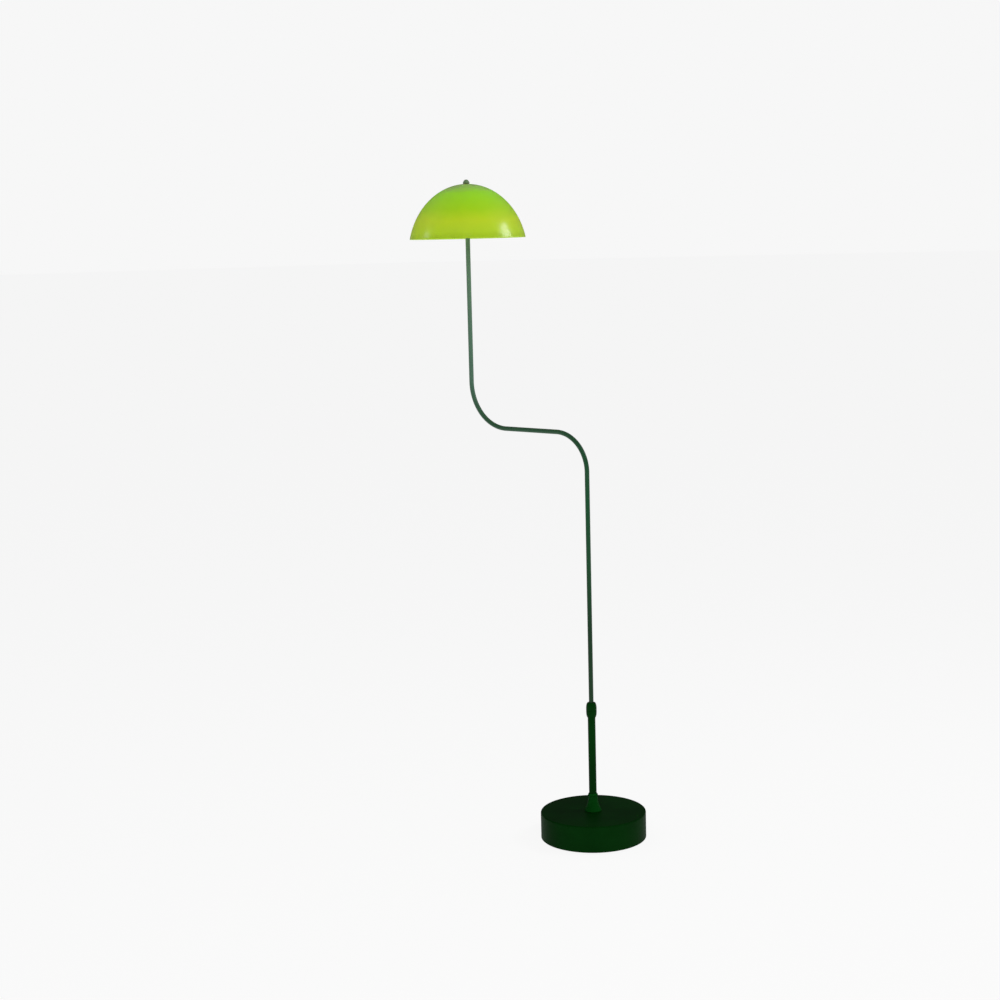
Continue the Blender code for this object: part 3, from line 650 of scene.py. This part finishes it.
lower_arc = bend(-lower_bend, run_height - lower_bend, lower_bend, 0, 90)
upper_arc = bend(-reach + upper_bend, run_height + upper_bend, upper_bend, 270, 180)
tube_foot, tube_end = (0, 0, tube_low.z), (-reach, 0, tube_high.z)
arm_line = np.vstack([
    [tube_foot], [(0, 0, tube_low.z + 0.0004)], straight(tube_foot, lower_arc[0]), lower_arc,
    straight(lower_arc[-1], upper_arc[0], 10), upper_arc, straight(upper_arc[-1], tube_end),
    [(-reach, 0, tube_high.z - 0.0004)], [tube_end],
])
skin_radius = np.full(len(arm_line), tube_radius)
skin_radius[[0, -1]] -= 0.0003
outer = swept_grid(arm_line, skin_radius, (0, 1, 0), 64)
inner = swept_grid(arm_line, np.full(len(arm_line), tube_bore), (0, 1, 0), 64)[::-1]
arm = lay_mesh("bent_arm_tube", np.concatenate([outer, inner]), True, arm_enamel_painted_light)
fit_piece(arm, "arm", "arm_paint", "arm_tube")


# ---- Nipple, saddle and lock nut ----
# A threaded brass nipple in the tube's end, a pressed brass saddle over it, and a hexagon nut on both.
# The nipple's upper part carries a fine thread.
brass, _ = worn_finish("lacquered_brass", (0.60, 0.41, 0.16), (0.47, 0.30, 0.11), 0.26, 0.35, 70, 1300, 6.0,
                       metallic=1.0, bump=0.08)
head_x, head_z = -reach, tube_high.z


def at_head(grid):
    """Moves a shape made about the origin to the arm tube's top end."""
    return grid + np.array([head_x, 0, head_z])


def threaded(pitch, depth, low, high):
    """A thread as a swell: depth (cos(2 pi z / pitch - a) - 1) / 2 between two heights, faded at each end."""
    def swell(angle, radius, height):
        inside = np.clip(np.minimum(height - low, high - height) / (pitch / 2), 0, 1)
        return depth * inside * (np.cos(math.tau * height / pitch - angle) - 1) / 2
    return swell


def ladder(radius, low, high, steps):
    """Outline points up a straight wall, close enough together to carry a thread."""
    return [(radius, height) for height in np.linspace(low, high, steps)]


nipple_top, nipple_foot, nipple_step = 0.0160, -0.0160, 0.0003
nipple_outline = [(0.0026, nipple_foot), (0.0037, nipple_foot), (0.0037, nipple_step)]
nipple_outline += ladder(0.0047, nipple_step, nipple_top - 0.0004, 130)
nipple_outline += [(0.0043, nipple_top), (0.0026, nipple_top)]
nipple_thread = threaded(0.001, 0.0005, nipple_step, nipple_top - 0.0004)


def nipple_outside(angle, radius, height):
    """The nipple's thread, kept off its bore."""
    return nipple_thread(angle, radius, height) * (radius > 0.0045)


nipple = lay_mesh("threaded_nipple", at_head(turned_grid(nipple_outline, 48, nipple_outside)), True, brass)
fit_piece(nipple, "arm", "brass", "tube_nipple")
refinish(brass, "harp_saddle", "saddle_nut")


# ---- Harp ----
# A loop of 3.2 mm brass wire that stands round the bulb and carries the shade's weight on its crown.
# Its legs sit on the saddle's pegs, each held by a ferrule that lifts off.
harp_low, harp_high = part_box("harp")
wire_radius = 0.0016
leg, leg_foot, leg_top = 0.022, harp_low.z - head_z, 0.0180
widest, waist, crown = harp_high.y - wire_radius, 0.062, harp_high.z - head_z - wire_radius
ease_part = np.linspace(0, 1, 24)
ease = ease_part ** 2 * (3 - 2 * ease_part)
loop_turn = np.radians(np.linspace(0, 90, 40))
# Half of the loop is a straight leg, an eased sweep out to its widest point, and a quarter ellipse.
half_harp = np.vstack([
    np.stack([np.full(8, leg), np.linspace(leg_foot, leg_top, 9)[:-1]], -1),
    np.stack([leg + (widest - leg) * ease, leg_top + (waist - leg_top) * ease_part], -1)[:-1],
    np.stack([widest * np.cos(loop_turn), waist + (crown - waist) * np.sin(loop_turn)], -1),
])
harp_flat = np.vstack([half_harp, half_harp[-2::-1] * (-1, 1)])
harp_line = np.stack([0 * harp_flat[:, 0], harp_flat[:, 0], harp_flat[:, 1]], -1)
harp_line = np.vstack([harp_line[:1], harp_line[:1], harp_line, harp_line[-1:], harp_line[-1:]])
harp_radius = np.full(len(harp_line), wire_radius)
# Each end of the wire is a flat face with a broken edge: its middle, its rim, then the full wire.
harp_radius[[0, -1]] = 0.0
harp_radius[[1, -2]] = 0.8 * wire_radius
harp_line[[1, -2], 2] += 0.00001
harp_line[[2, -3], 2] += 0.0003
harp_grid = swept_grid(harp_line, harp_radius, (1, 0, 0), 32)
harp = lay_mesh("harp_wire", at_head(harp_grid), False, brass, sharp=60)
fit_piece(harp, "arm", "brass", "harp")

ferrule_radius, ferrule_bore, ferrule_steps = 0.0030, 0.0021, 5


def knurl(angle, radius, height):
    """Twenty-four straight flutes 0.24 mm deep in the outside: -0.00012 (1 + cos 24 a)."""
    return -0.00012 * (1 + np.cos(24 * angle)) * (radius > 0.0029)


for side in ("left", "right"):
    node = f"harp_ferrule_{side}"
    low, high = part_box(node)
    outline = soften(
        [(ferrule_bore, low.z), (ferrule_radius, low.z), (ferrule_radius, high.z), (ferrule_bore, high.z)],
        0.0004, steps=ferrule_steps,
    )
    foot, top = outline[:2 * ferrule_steps], outline[2 * ferrule_steps:]
    outline = np.vstack([foot, ladder(ferrule_radius, low.z + 0.0006, high.z - 0.0006, 12), top])
    grid = turned_grid(outline, 120, knurl) + np.array([head_x, (low.y + high.y) / 2, 0])
    ferrule = lay_mesh(f"knurled_ferrule_{side}", grid, True, brass)
    fit_piece(ferrule, f"ferrule_{side}", "brass", node)

seat_foot, seat_top, seat_radius = 0.1134, 0.1164, 0.0090
stud_top, stud_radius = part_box("harp_seat")[1].z - head_z, 0.0030
seat_outline = [
    (0, seat_foot), (seat_radius - 0.0006, seat_foot), (seat_radius, seat_foot + 0.0006),
    (seat_radius, seat_top - 0.0004), (seat_radius - 0.0004, seat_top), (stud_radius, seat_top),
]
seat_outline += ladder(stud_radius, seat_top + 0.0001, stud_top - 0.0005, 140)
seat_outline += [(0.0024, stud_top), (0, stud_top)]
seat_thread = threaded(0.001, 0.0005, seat_top, stud_top - 0.0004)


def stud_outside(angle, radius, height):
    """The stud's thread, kept off the seat below it."""
    return seat_thread(angle, radius, height) * (radius < 0.0031) * (height > seat_top)


seat = lay_mesh("harp_crown_seat", at_head(turned_grid(seat_outline, 48, stud_outside)), False, brass)
fit_piece(seat, "arm", "brass", "harp_seat")


# ---- Lamp holder ----
# A brass cap and shell that snap together round a fibre liner, with the switch and the screw shell inside.
# The shell is drawn, with two rolled beads in its wall; the cap is spun.
cap_outline = soften(
    [
        (0.0050, 0.0058), (0.0085, 0.0058), (0.0140, 0.0082), (0.0168, 0.0120), (0.0168, 0.0220),
        (0.0160, 0.0220), (0.0160, 0.0125), (0.0135, 0.0090), (0.0083, 0.0067), (0.0050, 0.0067),
    ],
    [0.0002, 0.0012, 0.0030, 0.0030, 0.0003, 0.0003, 0.0025, 0.0025, 0.0008, 0.0002], steps=8,
)
cap = lay_mesh("holder_cap", at_head(turned_grid(cap_outline, 128)), True, brass)
fit_piece(cap, "arm", "brass", "socket_cap")

shell_foot, shell_lip, shell_inside, shell_outside = 0.0183, 0.0480, 0.0150, 0.0156
key_height = 0.0255
holder_wall = [(shell_inside, shell_foot)] + ladder(shell_outside, shell_foot, shell_lip, 60)
holder_wall += ladder(shell_inside, shell_lip, shell_foot + 0.0005, 60)


def beads(angle, radius, height):
    """Two rolled rings in the drawn wall: it steps in by 0.22 mm but for exp(-((z - ring) / 0.9 mm)^2)."""
    rings = sum(np.exp(-((height - ring) / 0.0009) ** 2) for ring in (0.0330, 0.0455))
    return -0.00022 * (1 - np.clip(rings, 0, 1)) * (height > 0.0285)


holder = lay_mesh("holder_shell", at_head(turned_grid(holder_wall, 128, beads)), True, brass)


def laid_along_x(grid):
    """Lays a shape made about +Z along +X at the switch key's height on the arm's head."""
    return np.stack([grid[..., 2] + head_x, grid[..., 1], head_z + key_height - grid[..., 0]], -1)


key_hole_radius, hole_start, hole_end = 0.0024, 0.0054, 0.020
key_hole = [(0, hole_start), (key_hole_radius, hole_start), (key_hole_radius, hole_end), (0, hole_end)]
punch(holder, key_hole, laid_along_x)
fit_piece(holder, "arm", "brass", "socket_shell")

fibre, _ = worn_finish("pressed_fibre", (0.42, 0.31, 0.18), (0.52, 0.40, 0.25), 0.85, 0.1, 80, 600,
                       specular=0.2)
phenolic, _ = worn_finish("black_phenolic", (0.014, 0.013, 0.012), (0.022, 0.020, 0.018), 0.36, 0.15, 90,
                          900, specular=0.4)
aluminium, _ = worn_finish("drawn_aluminium", (0.70, 0.70, 0.71), (0.60, 0.60, 0.61), 0.3, 0.25, 120,
                           1600, 6.0, metallic=1.0)
refinish(fibre, "socket_liner")
refinish(phenolic, "socket_core", "bulb_tip")
refinish(brass, "screw_shell", "centre_contact")

key_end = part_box("switch_key")[1].x - head_x
key_outline = [(0, 0.0060), (0.0016, 0.0060), (0.0018, 0.0062)] + ladder(0.0018, 0.0064, 0.0236, 4)
key_outline += [(0.0020, 0.0240), (0.0042, 0.0244)] + ladder(0.0050, 0.0252, key_end - 0.0012, 10)
key_outline += [
    (0.0046, key_end - 0.0003), (0.0040, key_end), (0.0020, key_end - 0.0003), (0, key_end - 0.0004),
]


def flutes(angle, radius, height):
    """Twelve finger flutes 0.4 mm deep round the knob: -0.0004 (1 + cos 12 a) / 2."""
    return -0.0004 * (0.5 + 0.5 * np.cos(12 * angle)) * (radius > 0.0045)


key = lay_mesh("switch_key_knob", laid_along_x(turned_grid(key_outline, 120, flutes)), False, phenolic)
fit_piece(key, "switch_key", "phenolic", "switch_key")


# ---- Bulb ----
# A small round opal bulb, switched on: thin glass, coated white inside, in a rolled aluminium screw cap.
# The cap's thread is the usual 3.6 mm pitch.
cap_low, cap_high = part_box("bulb_cap")
cap_foot, cap_top, cap_radius = cap_low.z - head_z, cap_high.z - head_z, 0.0129
screw_outline = [(0, cap_foot), (0.0112, cap_foot), (0.0122, cap_foot + 0.0008)]
screw_outline += ladder(cap_radius, cap_foot + 0.0014, cap_top - 0.0006, 70)
screw_outline += [(0.0124, cap_top), (0, cap_top)]
cap_thread = threaded(0.0036, 0.0009, cap_foot + 0.0012, cap_top - 0.002)
screw_cap = lay_mesh("bulb_screw_cap", at_head(turned_grid(screw_outline, 96, cap_thread)), False, aluminium)
fit_piece(screw_cap, "arm", "cap_aluminium", "bulb_cap")

opal, opal_shader, nodes, links = new_finish("opal_glass", (0.95, 0.93, 0.88), 0.18)
opal_cloud = grown_noise(nodes, links, 35, 2)
links.new(tones(nodes, links, opal_cloud, (0.3, (0.93, 0.90, 0.84)), (0.7, (0.97, 0.96, 0.92))),
          opal_shader.inputs["Base Color"])
links.new(tones(nodes, links, opal_cloud, (0.3, (1.0, 0.80, 0.50)), (0.7, (1.0, 0.84, 0.58))),
          opal_shader.inputs["Emission Color"])
opal_shader.inputs["Emission Strength"].default_value = 12.0
globe_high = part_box("bulb_globe")[1]
globe_radius = globe_high.x - head_x
globe_centre = globe_high.z - head_z - globe_radius
globe_foot, globe_neck, globe_wall = 0.0523, 0.0126, 0.0008


def blown_side(radius):
    """The glass from its neck to its crown: (r cos t, centre + r sin t), ending on the axis."""
    turn = np.linspace(-math.acos(globe_neck / globe_radius), math.pi / 2, 48)
    side = np.stack([radius * np.cos(turn), globe_centre + radius * np.sin(turn)], -1)
    side[-1, 0] = 0.0
    return side


outer_glass, inner_glass = blown_side(globe_radius), blown_side(globe_radius - globe_wall)
glass_outline = np.vstack([
    inner_glass[::-1], [(globe_neck - globe_wall, globe_foot)], [(globe_neck, globe_foot)], outer_glass,
])
globe = lay_mesh("opal_globe", at_head(turned_grid(glass_outline, 96)), False, opal)
fit_piece(globe, "arm", "opal_glass", "bulb_globe")


# ---- Shade ----
# A dome of lime-green acrylic blown to a 2.5 mm wall, trimmed level and polished at its rim, drilled on top.
# It is milky, so the bulb and the room light glow through it, and that glow is also painted into its colour
# and given out by the dome itself.
shade_low, shade_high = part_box("shade")
rim_radius, rim_height, apex = (shade_high.y - shade_low.y) / 2, shade_low.z, shade_high.z
# The blown dome is the upper part of an ellipse that is a little wider than the trimmed rim.
dome_wide, dome_deep, dome_wall, stud_hole = 1.027 * rim_radius, 1.203 * rim_radius, 0.0025, 0.0033
dome_centre = apex - dome_deep


def dome_side(inward, steps):
    """The ellipse (wide cos t, centre + deep sin t) from the rim up to the drilled hole, moved inward."""
    wide, deep = dome_wide - inward, dome_deep - inward
    first = math.asin((rim_height - dome_centre) / deep)
    last = math.acos(stud_hole / wide)
    turn = np.linspace(first, last, steps)
    return np.stack([wide * np.cos(turn), dome_centre + deep * np.sin(turn)], -1)


outside, inside = dome_side(0.0, 72), dome_side(dome_wall, 72)
rim_fillet = 0.0007
dome_outline = np.vstack([
    soften([inside[1], inside[0], outside[0], outside[1]], rim_fillet, steps=5, closed=False)[1:-1],
    outside[2:], inside[:1:-1],
])

acrylic, acrylic_shader, nodes, links = new_finish("lime_acrylic_painted_glow", (0.30, 0.60, 0.02), 0.12, specular=0.6)
acrylic_shader.inputs["Subsurface Weight"].default_value = 0.7
acrylic_shader.inputs["Subsurface Radius"].default_value = (1.0, 1.2, 0.2)
acrylic_shader.inputs["Subsurface Scale"].default_value = 0.005
place = nodes.new("ShaderNodeTexCoord")
apart = nodes.new("ShaderNodeSeparateXYZ")
links.new(place.outputs["Object"], apart.inputs["Vector"])
drift_height = 0.016
drift = nodes.new("ShaderNodeMath")
drift.operation = "MULTIPLY_ADD"
drift.inputs[1].default_value = drift_height
links.new(grown_noise(nodes, links, 16, 2), drift.inputs[0])
links.new(apart.outputs["Z"], drift.inputs[2])
painted_glow_height = nodes.new("ShaderNodeMapRange")
painted_glow_height.inputs["From Min"].default_value = rim_height + drift_height / 2
painted_glow_height.inputs["From Max"].default_value = apex + drift_height / 2
links.new(drift.outputs["Value"], painted_glow_height.inputs["Value"])
# Painted glow and painted reflection: yellower near the rim for the lit bulb's glow, greyer at the apex for a
# reflection of the room above.
lime = tones(
    nodes, links, painted_glow_height.outputs["Result"],
    (0.00, (0.32, 0.46, 0.016)), (0.12, (0.40, 0.54, 0.022)), (0.32, (0.45, 0.56, 0.016)),
    (0.55, (0.34, 0.56, 0.003)), (0.83, (0.30, 0.60, 0.003)), (1.00, (0.26, 0.38, 0.09)),
)
links.new(lime, acrylic_shader.inputs["Base Color"])
# The dome gives out its own colour as a faint painted glow of the bulb's light.
links.new(lime, acrylic_shader.inputs["Emission Color"])
acrylic_shader.inputs["Emission Strength"].default_value = 0.25
polish = grown_noise(nodes, links, 30, 2)
haze = nodes.new("ShaderNodeMapRange")
haze.inputs["To Min"].default_value, haze.inputs["To Max"].default_value = 0.16, 0.30
links.new(polish, haze.inputs["Value"])
links.new(haze.outputs["Result"], acrylic_shader.inputs["Roughness"])
raised(nodes, links, acrylic_shader, polish, 0.06, 0.002)

shade_grid = turned_grid(dome_outline, 192) + np.array([head_x, 0, 0])
shade = lay_mesh("acrylic_dome", shade_grid, True, acrylic)
fit_piece(shade, "arm", "shade_acrylic", "shade")


# ---- Shade washers and finial ----
# A rubber washer under the dome, a brass one over it, and a turned finial screwed down on the stud.
# The finial is a small bell, round on top and flared at its foot, enamelled grey green.
def washer(name, node, body, slot, finish, fillet):
    """A flat ring with broken edges, of its solid's own size."""
    low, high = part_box(node)
    radius = (high.x - low.x) / 2
    outline = soften([(stud_hole, low.z), (radius, low.z), (radius, high.z), (stud_hole, high.z)], fillet)
    grid = turned_grid(outline, 96) + np.array([head_x, 0, 0])
    fit_piece(lay_mesh(name, grid, True, finish), body, slot, node)


washer("rubber_shade_washer", "shade_washer", "arm", "black_rubber", rubber, 0.0005)
dark_brass, _ = worn_finish("darkened_brass", (0.24, 0.23, 0.12), (0.32, 0.28, 0.15), 0.5, 0.2, 90, 1300,
                            metallic=1.0, bump=0.1)
washer("brass_finial_washer", "finial_washer", "finial_washer", "brass", dark_brass, 0.0002)

finial_enamel = enamel("finial_enamel", (0.158, 0.248, 0.122), (0.195, 0.292, 0.150), 0.35, 0.4, 0.1)
finial_low, finial_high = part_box("finial")
finial_height, finial_radius = finial_high.z - finial_low.z, (finial_high.x - finial_low.x) / 2
nose_foot = (0.0070, 0.0036)
skirt = soften(
    [(stud_hole, 0), (0.0080, 0), (finial_radius, 0.0006), (0.0082, 0.0014), (0.0077, 0.0024), nose_foot],
    [0, 0.0003, 0.0004, 0.0004, 0.0008, 0], steps=7, closed=False,
)
# The nose rounds over to its tip: its radius is foot s^0.72 at a depth of height s^2, as s falls from 1 to 0.
fall = np.linspace(1, 0, 33)[1:]
nose_power, nose_height = 0.72, finial_height - nose_foot[1]
nose = np.stack([nose_foot[0] * fall ** nose_power, finial_height - nose_height * fall ** 2], -1)
bore_depth = 0.0068
finial_outline = np.vstack([
    [(0, bore_depth), (stud_hole - 0.0002, bore_depth - 0.0005)],
    ladder(stud_hole, bore_depth - 0.0007, 0.0003, 60), skirt, nose,
])
finial_grid = turned_grid(finial_outline, 96) + np.array([head_x, 0, finial_low.z])
finial = lay_mesh("bell_finial", finial_grid, False, finial_enamel)
fit_piece(finial, "finial", "finial_paint", "finial")
